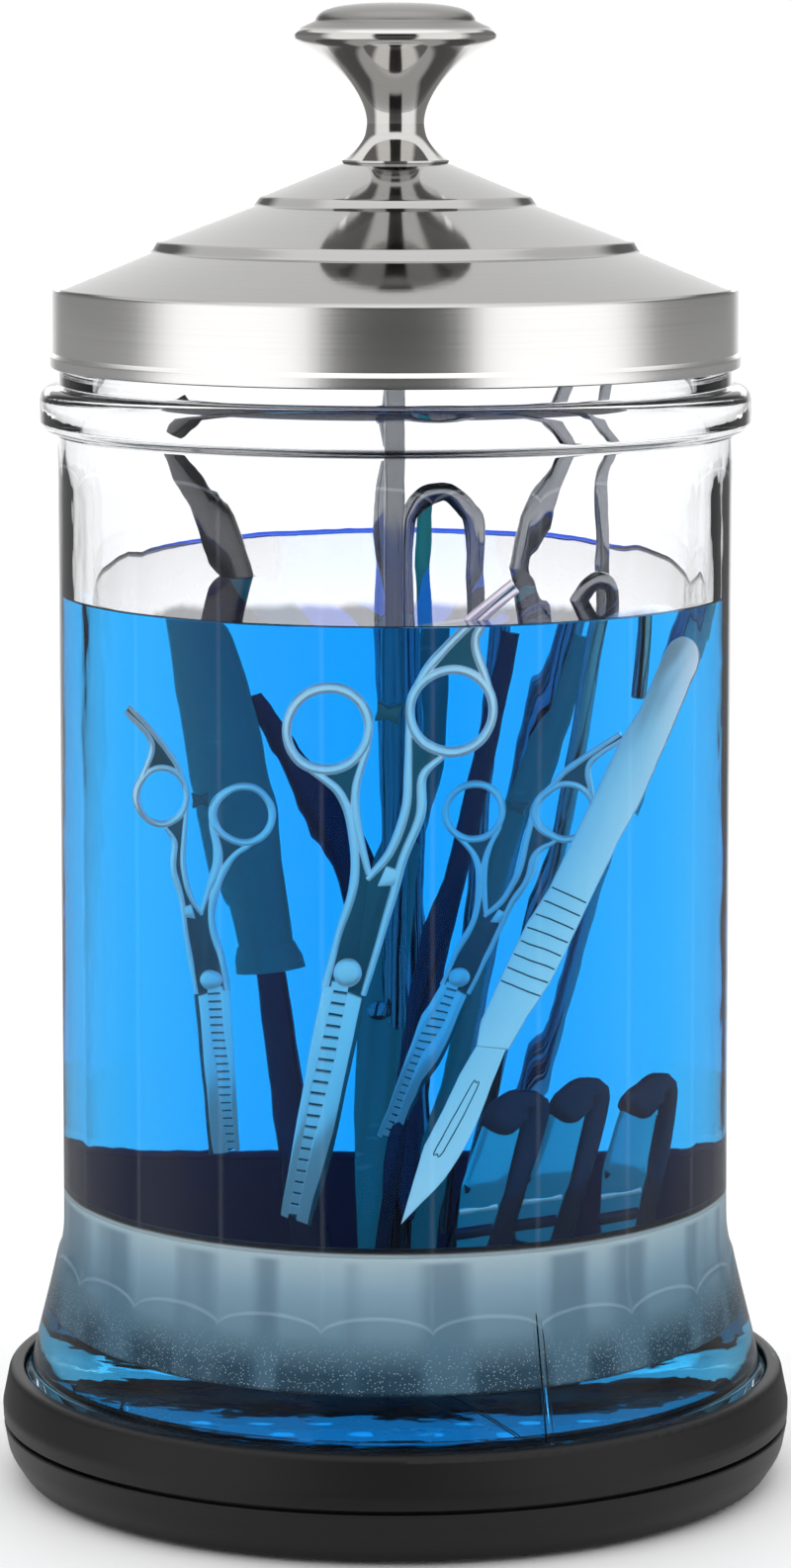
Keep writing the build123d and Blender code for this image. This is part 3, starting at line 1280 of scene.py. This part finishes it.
@dataclass
class ThinningShears(HandTool):
    """A pair of thinning shears, drawn with its pivot at the origin and its blades pointing down."""

    blade: float = 40.7
    blade_top: float = -2.6
    teeth: int = 20
    tooth_share: float = 0.7
    ring_wire: float = 0.82
    rim_widths: tuple[float, ...] = (0.5, 0.8, 0.8, 0.55)
    rings: tuple[tuple[Point, float], ...] = (((-10.3, 37.5), 6.5), ((8.7, 43.3), 6.6))
    left_edges: tuple[tuple[Point, ...], ...] = (
        ((-14.2, 32.0), (-10.3, 30.2), (-6.4, 27.6), (-3.6, 22.6), (-1.6, 14.0), (-2.6, 5.0), (-2.9, -3.0)),
        ((-3.4, 36.0), (-4.2, 29.4), (-3.0, 23.6), (0.4, 15.8)),
    )
    right_edges: tuple[tuple[Point, ...], ...] = (
        ((2.3, 41.0), (3.6, 33.5), (4.4, 26.8), (3.2, 19.8), (0.4, 15.0)),
        ((8.2, 35.9), (6.1, 32.4), (6.9, 26.2), (5.4, 19.0), (4.8, 12.0), (3.2, -3.4)),
    )
    tang_edges: tuple[tuple[Point, ...], ...] = (
        ((2.0, 44.6), (4.4, 50.6), (8.6, 56.6), (15.6, 64.6)),
        ((15.2, 45.4), (12.6, 50.0), (10.5, 54.0), (11.2, 57.4), (16.6, 63.6)),
    )
    clasp: tuple[Point, ...] = ((2.2, 14.2), (4.9, 14.8), (5.2, 17.2), (3.0, 17.6))
    screw: tuple[tuple[float, float, float], ...] = (
        (0, 0, 0), (2.3, 0, 0), (2.3, 0.5, 0.2), (1.7, 1.0, 0.25), (0, 1.2, 0),
    )
    bumper: tuple[Point, ...] = (
        (-3.3, 43.0), (-1.3, 42.3), (0.8, 43.2), (0.6, 41.2),
        (0.9, 39.8), (-1.2, 40.6), (-3.2, 39.9), (-3.0, 41.4),
    )

    def build(self) -> None:
        """Build the handles, webs, blades, screw and bumper as separate pieces."""
        self._handles()
        self._webs()
        self._comb_blade()
        self._plain_blade()
        self.add("screw", stud(self.screw, 28, Vector((0, -0.7, 0))), Steel.BRIGHT)
        bm = bmesh.new()
        plate(bm, flat(self.bumper, -0.7), 1.8, 0.25)
        self.add("bumper", bm, Steel.WEB)

    def _handles(self) -> None:
        """Build the two finger rings and the bright rims of the shanks and the finger rest, in the steel with
        painted glow.
        """
        bm = bmesh.new()
        for (x, z), radius in self.rings:
            turn = [math.radians(10 * i) for i in range(36)]
            loop = flat((x + radius * math.cos(a), z + radius * math.sin(a)) for a in turn)
            sweep(bm, loop, [self.ring_wire], 1.0, closed=True)
        for rim in (*self.left_edges, *self.right_edges, *self.tang_edges):
            sweep(bm, smooth_path(flat(rim)), self.rim_widths, 1.0)
        plate(bm, flat(self.clasp, -0.7), 1.8, 0.2)
        self.add("handles", bm, Steel.BRIGHT)

    def _webs(self) -> None:
        """Build the hollow-ground plates between the rims, in the steel with painted shade."""
        left_ring, right_ring = self.rings
        left, inner = self.left_edges
        outer, right = self.right_edges
        rest, under = self.tang_edges
        left_web = [*left[1:], (1.6, -3.0), *reversed(inner), *self._arc(left_ring, 345, 272)]
        right_web = [*outer, (0.6, 6.0), (0.6, -3.4), *reversed(right), *self._arc(right_ring, 262, 200)]
        rest_web = [*rest, *reversed(under), *self._arc(right_ring, 25, 160)]
        bm = bmesh.new()
        plate(bm, flat(left_web, -0.3), 0.7, 0.1)
        plate(bm, flat(right_web, -0.2), 0.7, 0.1)
        plate(bm, flat(rest_web, -0.3), 0.6, 0.1)
        self.add("webs", bm, Steel.WEB)

    @staticmethod
    def _arc(ring: tuple[Point, float], start: float, end: float, count: int = 7) -> list[Point]:
        """Draw part of a ring's outside.

        Args:
            ring: its middle and radius.
            start: the first angle in degrees.
            end: the last angle in degrees.
            count: how many points to make.

        Returns:
            The points.
        """
        (x, z), radius = ring
        turns = [math.radians(start + (end - start) * i / (count - 1)) for i in range(count)]
        return [(x + radius * math.cos(a), z + radius * math.sin(a)) for a in turns]

    def _comb_blade(self) -> None:
        """Build the toothed blade as a spine, a back strip and a row of teeth."""
        bm = bmesh.new()
        top, bottom = self.blade_top, -self.blade
        spine = [(0.6, top - 0.6), (3.0, top - 1.2), (2.3, bottom - 0.4), (0.4, bottom)]
        strip = [(-3.2, top), (-1.7, top - 0.2), (-1.0, bottom + 0.1), (-2.2, bottom + 0.4)]
        for outline in (spine, strip):
            plate(bm, flat(outline, -0.9), 0.8, 0.12)
        pitch = (top - bottom - 1.4) / self.teeth
        for i in range(self.teeth + 1):
            z = bottom + 0.9 + i * pitch
            tip = -1.4 - 0.8 * (z - bottom) / (top - bottom)
            end = z + pitch * self.tooth_share
            plate(bm, flat([(tip, z), (0.6, z), (0.6, end), (tip, end)], -0.8), 0.6, 0.0)
        self.add("comb_blade", bm, Steel.BRIGHT)

    def _plain_blade(self) -> None:
        """Build the second blade, which shows through the teeth and along one side."""
        bm = bmesh.new()
        bottom = -self.blade
        outline = [(-2.2, -2.0), (3.7, -2.4), (3.0, bottom - 1.0), (-1.4, bottom + 0.6)]
        plate(bm, flat(outline, 0.1), 0.8, 0.15)
        self.add("plain_blade", bm, Steel.WEB)


@dataclass
class Scalpel(HandTool):
    """A scalpel, drawn with its tip at the origin and its flat handle pointing up."""

    length: float = 102.0
    half_width: float = 3.9
    handle_bottom: float = 30.0
    shoulder: float = 45.0
    grooves: int = 8
    groove_bottom: float = 41.0
    groove_pitch: float = 2.3
    groove_wire: float = 0.13
    blade_depth: float = 0.4
    edge: tuple[Point, ...] = ((3.0, 26.0), (3.7, 18.0), (2.9, 9.0), (0.0, 0.0))
    slot: tuple[Point, ...] = ((-0.6, 13.0), (0.0, 12.3), (0.7, 13.0), (1.0, 24.0), (0.4, 24.8), (-0.2, 24.0))

    def build(self) -> None:
        """Build the handle, the finger ridges, the blade and its slot."""
        half, low = self.half_width, self.handle_bottom
        middle = self.length - half
        turns = [math.radians(20 * i) for i in range(10)]
        crown = [(half * math.cos(a), middle + half * math.sin(a)) for a in turns]
        sides = [(-half, self.shoulder), (-half * 0.92, low + 4.0), (-half * 0.6, low)]
        back = [(half * 0.8, low + 1.5), (half, self.shoulder)]
        handle = bmesh.new()
        plate(handle, flat([*crown, *sides, *back]), 1.6, 0.3)
        self.add("handle", handle, Steel.BRIGHT)
        # The finger ridges and the blade's slot are drawn as dark lines in the steel with painted shade.
        ridges = bmesh.new()
        for i in range(self.grooves):
            z = self.groove_bottom + i * self.groove_pitch
            sweep(ridges, flat([(-half * 0.9, z), (half * 0.9, z)], -0.05), [self.groove_wire], 0.9, sides=8)
        self.add("ridges", ridges, Steel.WEB)
        blade = bmesh.new()
        root = flat([(-2.2, low + 2.0), (2.6, low + 2.0)], self.blade_depth)
        edge = smooth_path(flat(self.edge, self.blade_depth), 5)
        spine = flat([(-2.4, 13.0), (-2.8, low - 5.0)], self.blade_depth)
        plate(blade, [*root, *edge, *spine], 0.6, 0.1)
        self.add("blade", blade, Steel.BRIGHT)
        slot = bmesh.new()
        line = smooth_path(flat(self.slot, self.blade_depth), 4, True)
        sweep(slot, line, [0.12], 0.9, closed=True, sides=6)
        self.add("blade_slot", slot, Steel.WEB)


@dataclass(frozen=True)
class Bar:
    """A smooth bar: the points it runs through, its half widths along them and its flatness."""

    name: str
    steel: Steel
    points: tuple[tuple[float, float, float], ...]
    widths: tuple[float, ...]
    flatness: float

    def build(self, steels: Steels) -> None:
        """Build the bar.

        Args:
            steels: the materials of the shared finishes.
        """
        bm = bmesh.new()
        sweep(bm, smooth_path([Vector(p) for p in self.points]), self.widths, self.flatness, sides=14)
        add_instrument(self.name, bm, steels[self.steel])


@dataclass(frozen=True)
class Clipper:
    """A pair of nail clippers that leans in the basket, seen by its bent lever.

    The bands that cross its face are painted dark reflections and painted highlights; each is a kind, the
    places along it, and a half width.
    """

    name: str
    x: float
    y: float
    lean: float
    top: float
    foot_height: float = 28.0
    crown: float = 5.0
    band_reach: tuple[float, float, float] = (2.7, 0.0, 0.4)
    # Painted dark reflections and painted highlights that cross the lever's face.
    bands: tuple[tuple[str, Steel, tuple[float, ...], float], ...] = (
        ("bands", Steel.DARK, (0.54, 0.76), 0.9), ("painted_glints", Steel.BRIGHT, (0.65, 0.86), 0.45),
    )

    def along(self, share: float, x: float = 0.0, y: float = 0.0, z: float = 0.0) -> Vector:
        """Find a point beside the clipper.

        Args:
            share: how far it lies from the foot, at 0, to the head, at 1.
            x: its shift to the right.
            y: its shift to the back.
            z: its shift upwards.

        Returns:
            The point.
        """
        foot = Vector((self.x - self.lean, self.y, self.foot_height))
        head = Vector((self.x, self.y, self.top - self.crown))
        return foot.lerp(head, share) + Vector((x, y, z))

    def build(self, steels: Steels) -> None:
        """Build the body, the face in the lit blue steel with its painted glow, the lever and the painted
        dark and light bands across the face.

        Args:
            steels: the materials of the shared finishes.
        """
        at = self.along
        body = (at(0.0), at(0.5), at(1.0))
        face = (at(0.45, -1.8, -2.0), at(0.75, -1.8, -3.2), at(1.0, -0.4, -4.0, 2.6))
        lever = (
            at(1.0, -2.8, -3.6, 1.2), at(1.0, -0.8, -4.4, 2.8), at(1.0, 1.8, -3.4, 4.6),
            at(1.0, 3.4, -1.6, 2.4), at(0.5, 2.2, -1.2), at(0.0),
        )
        Bar(f"{self.name}_body", Steel.DARK, body, (2.0, 3.0, 3.2), 0.35).build(steels)
        Bar(f"{self.name}_face", Steel.MIRROR, face, (2.0, 3.2, 2.6), 0.22).build(steels)
        Bar(f"{self.name}_lever", Steel.DARK, lever, (1.6, 2.9, 2.8, 1.8, 1.4, 1.2), 0.3).build(steels)
        reach = Vector(self.band_reach)
        for part, steel, shares, width in self.bands:
            bm = bmesh.new()
            for share in shares:
                middle = at(share, -1.8, -3.3)
                sweep(bm, [middle - reach, middle + reach], [width], 0.5, sides=8)
            add_instrument(f"{self.name}_{part}", bm, steels[steel])


@dataclass
class BackInstruments:
    """The darker instruments that stand behind, in the order that they are built."""

    steels: Steels
    brush: tuple[Bar, ...] = (
        Bar("brush_stem", Steel.BLACK,
            ((-35.5, 6.0, 163.5), (-32.5, 5.0, 157.0), (-28.8, 4.0, 149.0), (-25.0, 3.0, 139.0)),
            (1.4, 2.5, 2.5, 2.5), 0.8),
        Bar("brush_handle", Steel.HANDLE,
            ((-25.0, 3.0, 140.0), (-21.5, 2.5, 124.0), (-18.5, 2.0, 106.0), (-15.0, 2.0, 84.0)),
            (2.6, 4.4, 4.6, 3.6), 0.6),
        Bar("brush_ferrule", Steel.HANDLE,
            ((-15.2, 2.0, 85.5), (-14.9, 2.0, 83.5), (-14.6, 2.0, 81.5)),
            (3.9, 4.5, 4.7), 0.65),
        Bar("brush_shaft", Steel.DARK,
            ((-14.8, 2.0, 83.0), (-12.8, 1.5, 66.0), (-11.0, 1.0, 48.0), (-9.0, 0.0, 27.0)),
            (2.0, 2.2, 2.2, 1.8), 0.7),
    )
    scissors: tuple[Bar, ...] = (
        Bar("closed_scissors_front", Steel.HANDLE,
            ((5.4, 14.0, 153.0), (4.4, 13.0, 132.0), (2.5, 10.0, 108.0), (-0.5, 4.0, 92.0),
             (-2.6, -4.0, 60.0), (-3.8, -8.0, 38.0)),
            (0.7, 1.0, 1.8, 3.4, 2.8, 0.8), 0.3),
        Bar("closed_scissors_back", Steel.DARK,
            ((-16.0, 14.0, 122.0), (-9.0, 11.0, 108.0), (-3.0, 6.0, 90.0), (1.0, -2.0, 62.0),
             (1.8, -6.0, 44.0)),
            (1.2, 2.0, 3.2, 2.6, 0.8), 0.3),
    )
    rivet: tuple[tuple[float, float, float], ...] = ((0, 0, 0), (1.5, 0, 0), (1.5, 0.5, 0.2), (0, 0.9, 0))
    rivet_place: tuple[float, float, float] = (-2.0, -2.4, 76.0)
    picks: tuple[Bar, ...] = (
        Bar("tweezers", Steel.CHROME,
            ((3.4, 6.0, 40.0), (2.6, 8.0, 110.0), (2.0, 9.0, 143.0), (3.6, 9.5, 151.0), (7.2, 9.5, 154.4),
             (10.8, 9.5, 151.0), (12.6, 9.0, 143.0), (10.0, 8.0, 110.0), (4.8, 6.0, 40.0)),
            (0.9, 1.2, 1.9, 2.2, 1.9, 1.2, 0.9), 0.7),
        Bar("long_hook", Steel.CHROME,
            ((5.0, 4.0, 32.0), (16.0, -6.0, 84.0), (22.5, -14.0, 114.0), (26.5, -19.0, 136.0),
             (28.8, -20.0, 142.0), (31.4, -20.0, 143.6), (33.4, -19.0, 140.6), (32.0, -16.0, 126.0)),
            (0.9, 1.3, 1.4, 1.3, 1.0), 1.0),
        Bar("tall_probe", Steel.CHROME,
            ((2.0, 7.0, 32.0), (6.0, 8.0, 60.0), (15.0, 10.0, 110.0), (20.5, 11.0, 140.0),
             (25.5, 12.0, 158.0), (29.5, 12.0, 168.0)),
            (1.0, 1.5, 1.9, 1.8, 0.9), 0.7),
        Bar("bent_probe", Steel.CHROME,
            ((9.0, 9.0, 32.0), (20.0, 12.0, 84.0), (28.0, 13.0, 118.0), (34.0, 14.0, 140.0),
             (33.4, 14.0, 156.0), (36.0, 14.0, 166.0)),
            (0.9, 1.3, 1.8, 1.3, 0.9), 0.8),
        Bar("slanted_pick", Steel.DARK,
            ((14.0, -2.0, 134.0), (10.0, -3.0, 112.0), (3.6, -5.0, 80.0), (-2.5, -6.0, 34.0)),
            (1.3, 1.5, 1.4, 1.0), 0.8),
        Bar("slanted_file", Steel.HANDLE,
            ((22.5, 0.0, 133.0), (17.0, 0.0, 114.0), (11.5, 0.0, 94.0), (4.6, -1.0, 52.0), (3.0, -1.0, 34.0)),
            (1.5, 1.7, 1.5, 1.1), 0.5),
        Bar("tall_pick", Steel.CHROME,
            ((2.0, 16.0, 32.0), (1.4, 16.0, 60.0), (-0.5, 17.0, 130.0), (-1.5, 17.0, 150.0),
             (0.6, 16.0, 170.0)),
            (1.2, 1.6, 2.2, 1.2), 0.8),
    )
    clippers: tuple[Clipper, ...] = (
        Clipper("clipper_1", 15.0, -22.0, 6.0, 65.0),
        Clipper("clipper_2", 23.5, -18.0, 7.0, 66.0),
        Clipper("clipper_3", 33.5, -13.0, 5.0, 65.5),
    )

    def build(self) -> None:
        """Build the brush, the scissors with their rivet, the picks and the clippers."""
        for bar in (*self.brush, *self.scissors):
            bar.build(self.steels)
        rivet = stud(self.rivet, 20, Vector(self.rivet_place))
        add_instrument("closed_scissors_rivet", rivet, self.steels[Steel.CHROME])
        for piece in (*self.picks, *self.clippers):
            piece.build(self.steels)


@dataclass
class Instruments:
    """Everything that stands in the basket."""

    large: Placing = Placing(Vector((-6.6, -28.3, 86.0)), Vector((0.0, -36.1, 125.6)))
    left: Placing = Placing(Vector((-23.8, -15.0, 82.6)), Vector((-26.4, -20.0, 110.6)), 0.69, mirrored=True)
    right: Placing = Placing(Vector((7.7, -11.0, 82.6)), Vector((16.8, -17.0, 109.6)), 0.69)
    scalpel: Placing = Placing(Vector((0.9, -38.0, 48.6)), Vector((41.0, -17.0, 134.8)), 0.96)

    def build(self) -> None:
        """Build the instruments from the front of the jar to the back."""
        steels = {steel: steel.value.make() for steel in Steel}
        ThinningShears("large_shears", self.large, steels).build()
        ThinningShears("small_shears_left", self.left, steels).build()
        ThinningShears("small_shears_right", self.right, steels).build()
        Scalpel("scalpel", self.scalpel, steels).build()
        BackInstruments(steels).build()


# ---------------------------------------------------------------------------------------------
# Studio
# ---------------------------------------------------------------------------------------------


LIGHT_ROUND: tuple[Point, ...] = (
    (0.0, 0.03), (0.125, 0.04), (0.155, 1.0), (0.43, 1.0), (0.53, 0.2), (0.86, 0.2), (0.915, 1.0), (1.0, 1.0),
)


def azimuth(x: Signal, y: Signal) -> Signal:
    """Return the direction round the jar, from 0 in front to 1 behind."""
    return x.size().atan2(0.0 - y) * (1 / math.pi)


def light_round(g: Graph, direction: Signal) -> Signal:
    """Return how light the studio looks in the steel in a direction round the jar, from 0 to 1."""
    stops = [(place, (level,) * 3) for place, level in LIGHT_ROUND]
    return g.node("ShaderNodeValToRGB", {"stops": stops}, {0: direction})


@dataclass(frozen=True)
class PaleFloor(Finish):
    """The pale floor, which looks darker in the steel's reflections so that they have contrast."""

    name: str = "pale_floor"
    shades: tuple[Colour, Colour] = ((0.95, 0.95, 0.955), (0.97, 0.97, 0.97))
    waves: float = 8.0
    plain_within: Point = (70.0, 120.0)
    roughness: float = 0.7

    def sockets(self, g: Graph) -> Sockets:
        """Draw the floor.

        Args:
            g: the material's nodes.

        Returns:
            The shader's values and signals by socket name.
        """
        x, y, _ = g.axes()
        pale = g.mix(g.grain((self.waves,) * 3), *self.shades)
        shaded = g.mix(light_round(g, azimuth(x, y)), BLACK, pale)
        far = g.above(g.radius(), *self.plain_within) * g.mirrored()
        return {"Base Color": g.mix(far, pale, shaded), "Roughness": self.roughness}


@dataclass
class Studio:
    """The camera, the pale floor and the soft light round the jar."""

    distance: float = 872.0
    eye_height: float = 234.3
    look_down: float = 8.1
    sensor: float = 36.0
    lens: float = 128.1
    sight: Point = (0.05, 200.0)
    floor_size: float = 60.0
    floor_finish: PaleFloor = PaleFloor()
    ring_top: Point = (0.42, 0.58)
    plain_level: float = 0.95
    panel_level: float = 1.1
    overhead: float = 1.55
    overhead_rise: Point = (0.78, 0.88)
    back_strip: Point = (0.075, 0.19)
    back_strip_side: Point = (0.87, 0.89)
    back_strip_blur: float = 0.01
    back_strip_level: float = 1.6

    def camera(self) -> None:
        """Place the camera in front of the jar, a little above its lid."""
        data = bpy.data.cameras.new("camera")
        data.sensor_width = self.sensor
        data.lens = self.lens
        data.clip_start, data.clip_end = self.sight
        camera = bpy.data.objects.new("camera", data)
        camera.location = (0.0, -self.distance * MM, self.eye_height * MM)
        camera.rotation_euler = (math.radians(90 - self.look_down), 0.0, 0.0)
        bpy.context.collection.objects.link(camera)
        bpy.context.scene.camera = camera

    def floor(self) -> None:
        """Lay the pale floor."""
        bm = bmesh.new()
        bmesh.ops.create_grid(bm, x_segments=4, y_segments=4, size=self.floor_size)
        mesh = bpy.data.meshes.new("floor")
        bm.to_mesh(mesh)
        bm.free()
        mesh.materials.append(self.floor_finish.make())
        floor = bpy.data.objects.new("floor", mesh)
        bpy.context.collection.objects.link(floor)

    def light_level(self, g: Graph) -> Signal:
        """Draw the soft panels of light, and for the steel the darker gaps that give it contrast.

        Args:
            g: the world's nodes.

        Returns:
            The light's strength by direction.
        """
        direction = g.node("ShaderNodeTexCoord", output="Generated")
        split = g.node("ShaderNodeSeparateXYZ", {}, {0: direction}).socket.node.outputs
        x, y, z = (Signal(g, split[i]) for i in range(3))
        side = azimuth(x, y)
        ring = light_round(g, side)
        ring = ring + (1.0 - ring) * g.above(z, *self.ring_top)
        ring = (1.0 - g.mirrored()) * (self.plain_level - ring) + ring
        height = g.above(z, *self.overhead_rise)
        low, high = self.back_strip
        strip = g.above(z, low, low + self.back_strip_blur)
        strip = strip * (1.0 - g.above(z, high - self.back_strip_blur, high))
        strip = strip * g.above(side, *self.back_strip_side)
        level = ring * self.panel_level * (1.0 - height) + self.overhead * height
        return level + strip * self.back_strip_level

    def light(self) -> None:
        """Surround the jar with light, unsampled, because reflections see it differently from the rest."""
        world = bpy.data.worlds.new("studio")
        bpy.context.scene.world = world
        world.use_nodes = True
        world.cycles.sampling_method = "NONE"
        g = Graph(world.node_tree)
        shade = g.node("ShaderNodeBackground", {}, {"Color": (*WHITE, 1.0), "Strength": self.light_level(g)})
        output = world.node_tree.nodes.new("ShaderNodeOutputWorld")
        world.node_tree.links.new(shade.socket, output.inputs["Surface"])

    def build(self) -> None:
        """Set up the camera, floor and light."""
        self.camera()
        self.floor()
        self.light()
        bpy.context.scene.view_settings.view_transform = "Standard"
        LOG.info("studio: camera %.0f mm in front, %.1f mm lens", self.distance, self.lens)


def main() -> None:
    """Build the studio and the jar in order."""
    logging.basicConfig(level=logging.INFO, format="%(name)s: %(message)s")
    for part in (Studio(), Base(), GlassJar(), Liquid(), Lid(), Basket(), Instruments()):
        part.build()


if __name__ == "__main__":
    main()
